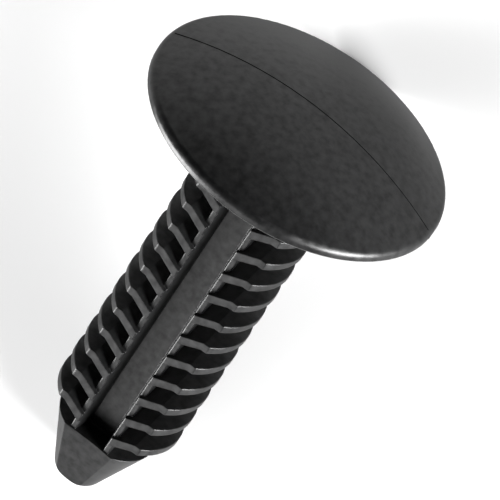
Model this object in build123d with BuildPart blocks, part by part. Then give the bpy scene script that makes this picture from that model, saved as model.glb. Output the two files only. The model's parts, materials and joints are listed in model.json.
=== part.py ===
from build123d import *
from math import atan2, degrees, hypot, radians, tan
import os

# Push-in retainer clip: one moulded piece with a domed head, an H-section core
# that carries swept fins on both sides, and a tapered nose. All lengths in mm.
# It is drawn upright, with the bearing ring under its head on Z = 0 and its
# parting plane on YZ, then laid down on the head's edge and the nose.

# Head
HEAD_D = 18.0            # outside diameter
HEAD_EDGE = 0.62         # height of the rim's side
DOME_RISE = 2.0          # crown height above the rim's side
RIM_ROUND = 0.42         # rounding between rim and dome
RIM_BREAK = 0.12         # broken edge between rim and underside
RIM_LAND = 0.8           # width of the flat ring that bears on the panel
HEAD_WALL = 1.3          # thickness at the crown, above the hollow underside

# Core: two side walls joined by a web
CORE_W = 2.64            # width over the two side walls
CORE_T = 4.8             # front-to-back size of the side walls
WEB_T = 2.0              # thickness of the web between the two channels
CHANNEL_W = 2.1          # channel width at its mouth
CHANNEL_FLOOR_W = 1.55   # channel width at the web
NECK_ROUND = 0.35        # fillet where the side walls meet the head
NECK_LAND = 0.4          # flat ring left between that fillet and the hollow's slope

# Fins
FIN_D = 7.75             # circle that the barbs fill, side to side
FIN_T = 5.4              # front-to-back size over their flat faces
FIN_PITCH = 1.71         # spacing along the shank
FIN_ROWS = 12            # fins on each side
FIN_FIRST = 2.5          # depth of the first barb's tip below the rim
FIN_SWEEP = 25.5         # degrees that a fin sweeps up from the core
TIP_SWEEP = 2.5          # the same, past the bend near its tip
BEND_W = 4.8             # width across the bends
FIN_ROOT_T = 0.62        # thickness along the shank, at the axis
FIN_TIP_T = 0.42         # the same at the barb's tip

# Nose
NOSE_TOP = 23.05         # depth of its shoulder below the rim
NOSE_L = 4.3             # length of the taper
NOSE_TOP_D = 6.04        # diameter of the shoulder
NOSE_T = 4.92            # front-to-back size over its two flats, at the shoulder
NOSE_FLAT_TAPER = 18.5   # degrees that each flat leans in towards the end
NOSE_FLAT_R = 20.0       # radius of the faint hollow that shrinkage leaves across each flat
NOSE_END_D = 2.6         # diameter of the blunt end
NOSE_ROUND = 0.8         # rounding of the blunt end

head_r = HEAD_D / 2
hollow_r = head_r - RIM_LAND
crown_z = HEAD_EDGE + DOME_RISE
hollow_z = crown_z - HEAD_WALL
hollow_flat_r = hypot(CORE_T / 2, CORE_W / 2) + NECK_ROUND + NECK_LAND
core_top = hollow_z + HEAD_WALL / 2
fin_r = FIN_D / 2
bend_y = BEND_W / 2
bend_z = bend_y * tan(radians(FIN_SWEEP))
tip_z = bend_z + (fin_r - bend_y) * tan(radians(TIP_SWEEP))
bend_t = FIN_ROOT_T + (FIN_TIP_T - FIN_ROOT_T) * bend_y / fin_r
fin_mid = FIN_FIRST + tip_z + (FIN_ROWS - 1) * FIN_PITCH / 2
nose_end = NOSE_TOP + NOSE_L
nose_r = NOSE_TOP_D / 2
hollow_x = NOSE_T / 2 + NOSE_FLAT_R
foot_x = (nose_r**2 + hollow_x**2 - NOSE_FLAT_R**2) / (2 * hollow_x)

with BuildPart() as upright:
    # Nose, turned about the axis, with a leaning and faintly hollow flat front and back
    with BuildSketch(Plane.XZ) as nose_half:
        Polygon(
            (0, -NOSE_TOP),
            (nose_r, -NOSE_TOP),
            (NOSE_END_D / 2, -nose_end),
            (0, -nose_end),
            align=None,
        )
        fillet(nose_half.vertices().group_by(Axis.Y)[0].sort_by(Axis.X)[-1], NOSE_ROUND)
    revolve(axis=Axis.Z)
    for side in (1, -1):
        with BuildSketch(Plane.XY.offset(-NOSE_TOP)) as flat_cut:
            with Locations((side * hollow_x, 0)):
                Circle(NOSE_FLAT_R)
        lean = Vector(-side * tan(radians(NOSE_FLAT_TAPER)), 0, -1)
        extrude(amount=NOSE_L * lean.length, dir=lean, mode=Mode.SUBTRACT)

    # Fins: bent blades ruled square to the parting plane
    with BuildSketch(Plane.YZ) as blades:
        with Locations((0, -fin_mid)):
            with GridLocations(FIN_D, FIN_PITCH, 1, FIN_ROWS):
                Polygon(
                    (0, -FIN_ROOT_T / 2),
                    (bend_y, bend_z - bend_t / 2),
                    (fin_r, tip_z - FIN_TIP_T / 2),
                    (fin_r, tip_z + FIN_TIP_T / 2),
                    (bend_y, bend_z + bend_t / 2),
                    (0, FIN_ROOT_T / 2),
                    align=None,
                )
        mirror(about=Plane.YZ)
    extrude(amount=FIN_T, both=True)

    # Barb circle with flats front and back
    with BuildSketch() as shank_outline:
        Circle(fin_r)
        Rectangle(FIN_T, FIN_D, mode=Mode.INTERSECT)
    extrude(amount=-nose_end, mode=Mode.INTERSECT)

    # Core, from the head down to the nose, with a channel in each face
    with BuildSketch(Plane.XY.offset(core_top)) as core:
        Rectangle(CORE_T, CORE_W)
    extrude(amount=-(core_top + NOSE_TOP))
    with BuildSketch(Plane.XY.offset(core_top)) as channels:
        with PolarLocations(0, 2):
            Polygon(
                (WEB_T / 2, -CHANNEL_FLOOR_W / 2),
                (FIN_T / 2, -CHANNEL_W / 2),
                (FIN_T, -CHANNEL_W / 2),
                (FIN_T, CHANNEL_W / 2),
                (FIN_T / 2, CHANNEL_W / 2),
                (WEB_T / 2, CHANNEL_FLOOR_W / 2),
                align=None,
            )
    extrude(amount=-(core_top + NOSE_TOP), mode=Mode.SUBTRACT)

    # Domed head with its hollow underside, turned about the axis
    with BuildSketch(Plane.XZ) as head_half:
        with BuildLine():
            land = Line((hollow_r, 0), (head_r, 0))
            rim = Line(land @ 1, (head_r, HEAD_EDGE))
            dome = TangentArc((0, crown_z), rim @ 1, tangent=(1, 0))
            Polyline(dome @ 0, (0, hollow_z), (hollow_flat_r, hollow_z), land @ 0)
        make_face()
        fillet(head_half.vertices().group_by(Axis.X)[-1].sort_by(Axis.Y)[-1], RIM_ROUND)
        chamfer(head_half.vertices().group_by(Axis.X)[-1].sort_by(Axis.Y)[0], RIM_BREAK)
    revolve(axis=Axis.Z)
    hollow_flat = upright.faces().filter_by(GeomType.PLANE).sort_by(Axis.Z)[-1]
    neck = hollow_flat.edges().filter_by(GeomType.LINE)
    fillet(neck.group_by(Axis.Y)[0] + neck.group_by(Axis.Y)[-1], NECK_ROUND)

# Resting pose: the ground touches the side of the rim and the flat's two corners on the nose
run = NOSE_TOP + RIM_BREAK
tilt = degrees(atan2(head_r - foot_x, run))
laid = upright.part.rotate(Axis.Y, 90 - tilt).bounding_box()

with BuildPart() as retainer_clip:
    with Locations(Location((-laid.center().X, 0, -laid.min.Z), (0, 90 - tilt, 0))):
        add(upright.part)
retainer_clip.part.label = "retainer_clip"

os.makedirs("parts", exist_ok=True)
export_step(retainer_clip.part, "parts/retainer_clip.step")
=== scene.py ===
"""Looks for a moulded push-in retainer clip, lying on a pale studio table."""

import json
import logging
import math
from dataclasses import dataclass
from enum import Enum
from typing import Any

import bpy
from mathutils import Matrix, Vector, noise


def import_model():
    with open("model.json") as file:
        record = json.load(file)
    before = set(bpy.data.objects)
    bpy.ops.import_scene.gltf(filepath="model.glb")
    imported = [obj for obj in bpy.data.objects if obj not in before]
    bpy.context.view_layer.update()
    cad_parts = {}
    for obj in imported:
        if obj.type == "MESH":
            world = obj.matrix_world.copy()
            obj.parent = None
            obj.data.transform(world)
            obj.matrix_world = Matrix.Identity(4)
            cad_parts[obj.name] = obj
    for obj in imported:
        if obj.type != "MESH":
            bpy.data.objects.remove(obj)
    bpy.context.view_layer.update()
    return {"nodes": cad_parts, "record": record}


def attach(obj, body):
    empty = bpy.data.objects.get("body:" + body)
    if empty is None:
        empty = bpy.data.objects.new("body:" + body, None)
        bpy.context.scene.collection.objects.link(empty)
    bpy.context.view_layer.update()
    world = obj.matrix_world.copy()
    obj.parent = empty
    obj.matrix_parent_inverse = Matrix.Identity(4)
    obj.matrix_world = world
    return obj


log = logging.getLogger("retainer_clip")

MM: float = 0.001


class Slot(Enum):
    """Material slots named in the part's record."""

    NYLON = "black_nylon"


def map_range(
    tree: bpy.types.NodeTree,
    value: bpy.types.NodeSocket,
    into: tuple[float, float],
    start: tuple[float, float] = (0.0, 1.0),
) -> bpy.types.NodeSocket:
    """Maps a value from one range into another, held within it.

    Args:
        tree: The material's nodes.
        value: The value to map.
        into: Ends of the range that comes out.
        start: Ends of the range that goes in.

    Returns:
        The mapped value.
    """
    node = tree.nodes.new("ShaderNodeMapRange")
    ends = zip(("From Min", "From Max", "To Min", "To Max"), (*start, *into))
    for socket, end in ends:
        node.inputs[socket].default_value = end
    tree.links.new(value, node.inputs["Value"])
    return node.outputs["Result"]


def vector_math(
    tree: bpy.types.NodeTree, operation: str, *values: bpy.types.NodeSocket | Vector
) -> bpy.types.Node:
    """Adds one step of vector arithmetic.

    Args:
        tree: The material's nodes.
        operation: Name of the arithmetic.
        *values: What it works on, as sockets or fixed vectors.

    Returns:
        The new node.
    """
    node = tree.nodes.new("ShaderNodeVectorMath")
    node.operation = operation
    for socket, value in zip(node.inputs, values):
        if isinstance(value, Vector):
            socket.default_value = value
        else:
            tree.links.new(value, socket)
    return node


@dataclass(frozen=True)
class ClipAxis:
    """Where the clip lies: its own directions in the row frame.

    Attributes:
        seat: Centre of the bearing ring under the head, in metres.
        head: Unit vector from the nose to the crown of the head.
        face: Unit vector out of the upper face of the core.
        side: Unit vector across the shank, in the parting plane.
    """

    seat: Vector
    head: Vector
    face: Vector
    side: Vector

    @classmethod
    def from_record(cls, record: dict[str, Any]) -> "ClipAxis":
        """Reads the clip's lie from the bearing ring's mount.

        Args:
            record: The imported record.

        Returns:
            The clip's directions.
        """
        ring = next(m for m in record["mounts"] if m["name"] == "head_seat")
        head = -Vector(ring["axis"]).normalized()
        face = Vector((-head.z, 0.0, head.x))
        seat = Vector((ring["pos_m"][0], 0.0, ring["pos_m"][2]))
        return cls(seat, head, face, head.cross(face))

    def at(self, along: float, out: float = 0.0, across: float = 0.0) -> Vector:
        """Gives a point by its place on the clip.

        Args:
            along: Distance from the seat towards the crown, in metres.
            out: Distance out of the core's upper face, in metres.
            across: Distance across the shank, in metres.

        Returns:
            The point in the row frame.
        """
        return self.seat + self.head * along + self.face * out + self.side * across


@dataclass(frozen=True)
class DomeForm:
    """The sphere that the head's dome is part of.

    Attributes:
        radius: Radius of the sphere, in metres.
        crown: Height of the crown above the seat, in metres.
        cap: Radius of the small cap round the crown that is shaded as the true sphere.
        cap_core: Share of that radius that is shaded so in full.
    """

    radius: float = 21.25 * MM
    crown: float = 2.62 * MM
    cap: float = 0.9 * MM
    cap_core: float = 0.6

    def along(self, across: float) -> float:
        """Gives the dome's height above the seat.

        Args:
            across: Distance from the clip's axis, in metres.

        Returns:
            The height, in metres.
        """
        return self.crown - self.radius + math.sqrt(self.radius**2 - across**2)

    def round_cap(
        self,
        tree: bpy.types.NodeTree,
        place: bpy.types.NodeSocket,
        normal: bpy.types.NodeSocket,
        axis: ClipAxis,
    ) -> bpy.types.NodeSocket:
        """Turns the skin's normal to the true sphere's, round the crown.

        Args:
            tree: The material's nodes.
            place: The point on the clip.
            normal: The skin's own normal.
            axis: The clip's lie.

        Returns:
            The normal to shade by.
        """
        from_crown = vector_math(tree, "SUBTRACT", place, axis.at(self.crown))
        reach = vector_math(tree, "LENGTH", from_crown.outputs["Vector"])
        fade = (self.cap * self.cap_core, self.cap)
        share = map_range(tree, reach.outputs["Value"], into=(1.0, 0.0), start=fade)
        outward = vector_math(tree, "SUBTRACT", place, axis.at(self.crown - self.radius))
        sphere = vector_math(tree, "NORMALIZE", outward.outputs["Vector"])
        change = vector_math(tree, "SUBTRACT", sphere.outputs["Vector"], normal)
        part = vector_math(tree, "SCALE", change.outputs["Vector"])
        tree.links.new(share, part.inputs["Scale"])
        mixed = vector_math(tree, "ADD", normal, part.outputs["Vector"])
        return vector_math(tree, "NORMALIZE", mixed.outputs["Vector"]).outputs["Vector"]


@dataclass(frozen=True)
class MouldedNylon:
    """Satin black nylon as it leaves a fine-sparked mould.

    Attributes:
        tone: Linear grey of the pigment.
        tint: Red, green and blue of the pigment, as shares of its grey.
        tone_span: Lowest and highest share of the tone over the cloudy skin.
        roughness: Mean roughness of the skin.
        patchiness: How far the roughness strays from its mean.
        gloss: Mean strength of the sheen.
        gloss_spread: How far the strength of the sheen strays from its mean.
        gloss_span: The part of the clouds' range that the sheen follows.
        ior: Refractive index of the skin.
        haze: Strength of the skin's pale haze at a slant.
        haze_roughness: Roughness of that haze.
        grain: Size of the skin's grain, in metres.
        grain_depth: Strength of the grain's bump.
        grain_height: Height of the grain, as a share of its size.
        grain_detail: Number of finer layers in the grain.
        cloud: Size of the skin's clouds, in grains.
        cloud_detail: Number of finer layers in the clouds.
        edge: Radius that the mould leaves on every edge, in metres.
        edge_samples: Number of looks taken round a point to find an edge.
    """

    tone: float = 0.007
    tint: tuple[float, float, float] = (1.0, 1.01, 1.04)
    tone_span: tuple[float, float] = (0.7, 1.4)
    roughness: float = 0.36
    patchiness: float = 0.09
    gloss: float = 0.5
    gloss_spread: float = 0.16
    gloss_span: tuple[float, float] = (0.3, 0.7)
    ior: float = 1.53
    haze: float = 0.08
    haze_roughness: float = 0.3
    grain: float = 0.12 * MM
    grain_depth: float = 0.12
    grain_height: float = 0.2
    grain_detail: float = 2.0
    cloud: float = 4.0
    cloud_detail: float = 3.0
    edge: float = 0.11 * MM
    edge_samples: int = 6

    def build(self, name: str, axis: ClipAxis, dome: DomeForm) -> bpy.types.Material:
        """Makes the material.

        Args:
            name: Name of the new material.
            axis: The clip's lie.
            dome: The head's dome.

        Returns:
            The node material.
        """
        material = bpy.data.materials.new(name)
        material.use_nodes = True
        tree = material.node_tree
        shader = tree.nodes["Principled BSDF"]
        shader.inputs["IOR"].default_value = self.ior
        shader.inputs["Sheen Weight"].default_value = self.haze
        shader.inputs["Sheen Roughness"].default_value = self.haze_roughness
        place = tree.nodes.new("ShaderNodeTexCoord").outputs["Object"]
        self.add_clouds(tree, shader, place)
        self.add_grain(tree, shader, place, axis, dome)
        return material

    def add_clouds(
        self, tree: bpy.types.NodeTree, shader: bpy.types.Node, place: bpy.types.NodeSocket
    ) -> None:
        """Varies the tone, the roughness and the sheen over the skin.

        Args:
            tree: The material's nodes.
            shader: The material's shader.
            place: The point on the clip.
        """
        texture = tree.nodes.new("ShaderNodeTexNoise")
        texture.inputs["Scale"].default_value = 1.0 / (self.cloud * self.grain)
        texture.inputs["Detail"].default_value = self.cloud_detail
        tree.links.new(place, texture.inputs["Vector"])
        cloud = texture.outputs["Fac"]

        pigment = Vector(self.tint) * self.tone
        colour = vector_math(tree, "SCALE", pigment)
        tree.links.new(map_range(tree, cloud, into=self.tone_span), colour.inputs["Scale"])
        tree.links.new(colour.outputs["Vector"], shader.inputs["Base Color"])

        rough = (self.roughness - self.patchiness, self.roughness + self.patchiness)
        tree.links.new(map_range(tree, cloud, into=rough), shader.inputs["Roughness"])

        sheen = (self.gloss - self.gloss_spread, self.gloss + self.gloss_spread)
        level = map_range(tree, cloud, into=sheen, start=self.gloss_span)
        tree.links.new(level, shader.inputs["Specular IOR Level"])

    def add_grain(
        self,
        tree: bpy.types.NodeTree,
        shader: bpy.types.Node,
        place: bpy.types.NodeSocket,
        axis: ClipAxis,
        dome: DomeForm,
    ) -> None:
        """Gives the skin its fine grain and its softened edges.

        Args:
            tree: The material's nodes.
            shader: The material's shader.
            place: The point on the clip.
            axis: The clip's lie.
            dome: The head's dome.
        """
        texture = tree.nodes.new("ShaderNodeTexNoise")
        texture.inputs["Scale"].default_value = 1.0 / self.grain
        texture.inputs["Detail"].default_value = self.grain_detail
        tree.links.new(place, texture.inputs["Vector"])
        soft_edge = tree.nodes.new("ShaderNodeBevel")
        soft_edge.samples = self.edge_samples
        soft_edge.inputs["Radius"].default_value = self.edge
        rounded = dome.round_cap(tree, place, soft_edge.outputs["Normal"], axis)
        bump = tree.nodes.new("ShaderNodeBump")
        bump.inputs["Strength"].default_value = self.grain_depth
        bump.inputs["Distance"].default_value = self.grain * self.grain_height
        tree.links.new(texture.outputs["Fac"], bump.inputs["Height"])
        tree.links.new(rounded, bump.inputs["Normal"])
        tree.links.new(bump.outputs["Normal"], shader.inputs["Normal"])


def piece_from(name: str, points: list[Vector], faces: list[tuple[int, ...]]) -> bpy.types.Object:
    """Makes a smooth-shaded piece of the clip.

    Args:
        name: Name of the piece.
        points: Its points, in the row frame.
        faces: Its faces, as point numbers.

    Returns:
        The piece's object.
    """
    mesh = bpy.data.meshes.new(name)
    mesh.from_pydata([tuple(p) for p in points], [], faces)
    mesh.shade_smooth()
    piece = bpy.data.objects.new(name, mesh)
    bpy.context.scene.collection.objects.link(piece)
    return piece


@dataclass(frozen=True)
class MouldLine:
    """The fine line that the mould's parting leaves over the dome.

    Attributes:
        dome: The dome that it crosses.
        reach: How far it runs from the crown to each side, in metres.
        half_width: Half of its width, in metres.
        height: How far it stands out, in metres.
        root: How far its feet go into the skin, in metres.
        shoulder: Place of its shoulders, as shares of the half width and the height.
        steps: Number of lengths that it is made of.
    """

    dome: DomeForm
    reach: float = 8.74 * MM
    half_width: float = 0.05 * MM
    height: float = 0.02 * MM
    root: float = 0.015 * MM
    shoulder: tuple[float, float] = (0.45, 0.8)
    steps: int = 96

    def section(self) -> list[tuple[float, float]]:
        """Gives the line's outline, from foot to foot.

        Returns:
            Its points, across the line and out of the skin, in metres.
        """
        width, height = self.shoulder
        foot = (self.half_width, -self.root)
        bend = (self.half_width * width, self.height * height)
        left = [(-w, h) for w, h in (foot, bend)]
        return [*left, (0.0, self.height), bend, foot]

    def build(self, axis: ClipAxis) -> bpy.types.Object:
        """Makes the line.

        Args:
            axis: The clip's lie.

        Returns:
            The line's object.
        """
        section = self.section()
        points, faces = [], []
        for i in range(self.steps + 1):
            across = self.reach * (2.0 * i / self.steps - 1.0)
            lean = across / self.dome.radius
            rise = math.sqrt(1.0 - lean**2)
            for width, height in section:
                along = self.dome.along(across) + height * rise
                points.append(axis.at(along, width, across + height * lean))
        n = len(section)
        for i in range(self.steps):
            for j in range(n - 1):
                a = i * n + j
                faces.append((a, a + 1, a + 1 + n, a + n))
        return piece_from("mould_line", points, faces)


@dataclass(frozen=True)
class GateStub:
    """The torn stub where the moulding was snapped from its runner.

    Attributes:
        along: Height of its centre above the seat, in metres.
        across: Distance of its foot from the clip's axis, in metres.
        radius: Radius of its foot, in metres.
        height: How far it stands out, in metres.
        torn: Mean share of that height left by the tear.
        torn_spread: How far the tear strays from its mean.
        torn_lumps: Number of lumps in the tear, over the foot's radius.
        torn_slice: Level of the noise that the tear is cut from.
        rings: Number of rings of points.
        spokes: Number of points in a ring.
    """

    along: float = 0.36 * MM
    across: float = 8.95 * MM
    radius: float = 0.17 * MM
    height: float = 0.09 * MM
    torn: float = 0.75
    torn_spread: float = 0.5
    torn_lumps: float = 2.7
    torn_slice: float = 0.4
    rings: int = 6
    spokes: int = 20

    def stand(self, x: float, y: float) -> float:
        """Gives the stub's height at a point.

        Args:
            x: Place along the clip's axis, as a share of the foot's radius.
            y: Place square to it, as a share of the foot's radius.

        Returns:
            The height, in metres.
        """
        spot = Vector((self.torn_lumps * x, self.torn_lumps * y, self.torn_slice))
        left = self.torn + self.torn_spread * noise.noise(spot)
        return self.height * (1.0 - x**2 - y**2) * left

    def build(self, axis: ClipAxis) -> bpy.types.Object:
        """Makes the stub.

        Args:
            axis: The clip's lie.

        Returns:
            The stub's object.
        """
        points = [axis.at(self.along, 0.0, self.across + self.height)]
        for i in range(1, self.rings + 1):
            part = i / self.rings
            for j in range(self.spokes):
                turn = 2.0 * math.pi * j / self.spokes
                x, y = part * math.cos(turn), part * math.sin(turn)
                along = self.along + x * self.radius
                across = self.across + self.stand(x, y)
                points.append(axis.at(along, y * self.radius, across))
        faces = []
        for j in range(self.spokes):
            k = (j + 1) % self.spokes
            faces.append((0, 1 + j, 1 + k))
            for i in range(self.rings - 1):
                a, b = 1 + i * self.spokes, 1 + (i + 1) * self.spokes
                faces.append((a + j, b + j, b + k, a + k))
        return piece_from("gate_stub", points, faces)


@dataclass
class Clip:
    """The moulded clip: the CAD solid with its skin, mould line and gate stub.

    Attributes:
        axis: The clip's lie.
        dome: The head's dome.
        nylon: The finish of its skin.
        painted_shade_nylon: The rougher finish of the mould line and the stub, with a darker tone
            and a weaker reflection painted on as the shade of the parting groove.
    """

    axis: ClipAxis
    dome: DomeForm = DomeForm()
    nylon: MouldedNylon = MouldedNylon()
    # Darker tone and lower IOR: painted shade of the parting groove on the mould line and the
    # stub; the higher roughness is the skin's own.
    painted_shade_nylon: MouldedNylon = MouldedNylon(tone=0.003, roughness=0.7, ior=1.22, edge=0.02 * MM)

    def dress(self, node: bpy.types.Object) -> None:
        """Gives the CAD solid its skin.

        Args:
            node: The clip's CAD object.
        """
        skin = self.nylon.build("black_nylon_skin", self.axis, self.dome)
        node.data.materials.clear()
        node.data.materials.append(skin)

    def add_traces(self) -> None:
        """Adds the traces that the mould leaves on the head."""
        # The mould line and the stub get the darker nylon: painted shade standing in for the
        # shadow of the parting groove.
        dull = self.painted_shade_nylon.build("black_nylon_painted_shade", self.axis, self.dome)
        for trace in (MouldLine(self.dome), GateStub()):
            piece = trace.build(self.axis)
            piece.data.materials.append(dull)
            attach(piece, "root")


@dataclass(frozen=True)
class PlainWhite:
    """A dull white surface: white to the camera, pale grey to what stands on it.

    Attributes:
        shade: Linear grey that the camera sees.
        cast: Linear grey that the clip is lit and mirrored by.
        roughness: Roughness of the surface.
    """

    shade: float = 1.0
    cast: float = 0.45
    roughness: float = 0.9

    def build(self, name: str) -> bpy.types.Material:
        """Makes the material.

        Args:
            name: Name of the new material.

        Returns:
            The node material.
        """
        material = bpy.data.materials.new(name)
        material.use_nodes = True
        tree = material.node_tree
        shader = tree.nodes["Principled BSDF"]
        shader.inputs["Roughness"].default_value = self.roughness
        shader.inputs["Specular IOR Level"].default_value = 0.0
        seen = tree.nodes.new("ShaderNodeLightPath").outputs["Is Camera Ray"]
        grey = map_range(tree, seen, into=(self.cast, self.shade))
        tree.links.new(grey, shader.inputs["Base Color"])
        return material


@dataclass
class TableTop:
    """A plain square table top.

    Attributes:
        half: Half of its side, in metres.
        white: Its finish.
    """

    half: float = 1.2
    white: PlainWhite = PlainWhite()

    def build(self) -> bpy.types.Object:
        """Makes the table top.

        Returns:
            The table top's object.
        """
        h = self.half
        mesh = bpy.data.meshes.new("table_top")
        mesh.from_pydata([(-h, -h, 0), (h, -h, 0), (h, h, 0), (-h, h, 0)], [], [(0, 1, 2, 3)])
        top = bpy.data.objects.new("table_top", mesh)
        bpy.context.scene.collection.objects.link(top)
        mesh.materials.append(self.white.build("table_white"))
        return top


@dataclass(frozen=True)
class SoftBox:
    """One square soft lamp, aimed at the clip.

    Attributes:
        name: Name of the lamp.
        place: Where it hangs, in metres.
        power: Power in watts.
        side: Length of its side, in metres.
    """

    name: str
    place: tuple[float, float, float]
    power: float
    side: float = 0.32

    def build(self, aim: Vector) -> bpy.types.Object:
        """Hangs the lamp.

        Args:
            aim: The point it faces.

        Returns:
            The lamp's object.
        """
        data = bpy.data.lights.new(self.name, "AREA")
        data.size = self.side
        data.energy = self.power
        lamp = bpy.data.objects.new(self.name, data)
        lamp.location = self.place
        lamp.rotation_euler = (aim - lamp.location).to_track_quat("-Z", "Y").to_euler()
        bpy.context.scene.collection.objects.link(lamp)
        return lamp


@dataclass
class Studio:
    """Soft room light and the lamps round the table.

    Attributes:
        room: Strength of the even room light.
        aim: Place on the clip's axis that the lamps face, from the seat, in metres.
        lamps: The soft lamps.
    """

    room: float = 0.03
    aim: float = -8.0 * MM
    lamps: tuple[SoftBox, ...] = (
        SoftBox("lamp_right", (0.008, -0.53, 0.122), 11.8),
        SoftBox("lamp_left_low", (-0.372, 0.38, 0.122), 6.4),
        SoftBox("lamp_left_high", (-0.31, 0.319, 0.323), 1.15),
        SoftBox("lamp_over", (-0.44, 0.0, 0.323), 0.55),
    )

    def build(self, axis: ClipAxis) -> None:
        """Lights the scene.

        Args:
            axis: The clip's lie.
        """
        world = bpy.data.worlds.new("room")
        world.use_nodes = True
        back = world.node_tree.nodes["Background"]
        back.inputs["Color"].default_value = (1, 1, 1, 1)
        back.inputs["Strength"].default_value = self.room
        bpy.context.scene.world = world
        aim = axis.at(self.aim)
        for lamp in self.lamps:
            lamp.build(aim)


@dataclass(frozen=True)
class ProductCamera:
    """The camera, placed as the photograph was taken.

    Attributes:
        above: Angle of sight above the head's own plane, in degrees.
        turn: Turn about the clip's axis, in degrees.
        roll: Lean of the clip's axis in the picture, in degrees.
        distance: Distance to the head, in metres.
        scale: Pixels per metre at the head.
        frame_px: Width of the picture, in those pixels.
        head_px: Where the rim's centre falls, in pixels from the picture's centre, right and up.
        rim: Height of the rim's centre above the seat, in metres.
        sensor_mm: Width of the sensor, in millimetres.
        clip_span: Nearest and farthest distance that is drawn, in metres.
    """

    above: float = 35.55
    turn: float = 7.0
    roll: float = 33.87
    distance: float = 0.345
    scale: float = 18445.0
    frame_px: float = 500.0
    head_px: tuple[float, float] = (46.4, 111.1)
    rim: float = 0.15 * MM
    sensor_mm: float = 36.0
    clip_span: tuple[float, float] = (0.01, 10.0)

    def build(self, axis: ClipAxis) -> bpy.types.Object:
        """Sets up the camera.

        Args:
            axis: The clip's lie.

        Returns:
            The camera's object.
        """
        e, t, r = (math.radians(a) for a in (self.above, self.turn, self.roll))
        out = axis.face * math.cos(t) + axis.side * math.sin(t)
        sight = axis.head * math.sin(e) + out * math.cos(e)
        lean = (axis.head - sight * axis.head.dot(sight)).normalized()
        level = lean.cross(sight)
        up = lean * math.cos(r) - level * math.sin(r)
        right = lean * math.sin(r) + level * math.cos(r)
        x, y = (v / self.scale for v in self.head_px)
        place = axis.at(self.rim) - right * x - up * y + sight * self.distance
        data = bpy.data.cameras.new("product_camera")
        data.sensor_width = self.sensor_mm
        data.lens = self.scale * self.distance * self.sensor_mm / self.frame_px
        data.clip_start, data.clip_end = self.clip_span
        camera = bpy.data.objects.new("product_camera", data)
        turned = Matrix((right, up, sight)).transposed().to_4x4()
        camera.matrix_world = Matrix.Translation(place) @ turned
        bpy.context.scene.collection.objects.link(camera)
        bpy.context.scene.camera = camera
        return camera


def main() -> None:
    """Builds the looks, in order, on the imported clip."""
    logging.basicConfig(level=logging.INFO, format="%(message)s")
    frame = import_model()
    axis = ClipAxis.from_record(frame["record"])

    clip = Clip(axis)
    clip.dress(frame["nodes"]["retainer_clip"])
    log.info("clip: satin nylon skin on the moulded solid")
    clip.add_traces()
    log.info("clip: mould line over the dome and gate stub on the rim")
    TableTop().build()
    log.info("table top: pale and plain")
    Studio().build(axis)
    log.info("studio: room light and soft lamps")
    ProductCamera().build(axis)
    log.info("camera: set as in the photograph")

    scene = bpy.context.scene
    scene.view_settings.view_transform = "Standard"


if __name__ == "__main__":
    main()
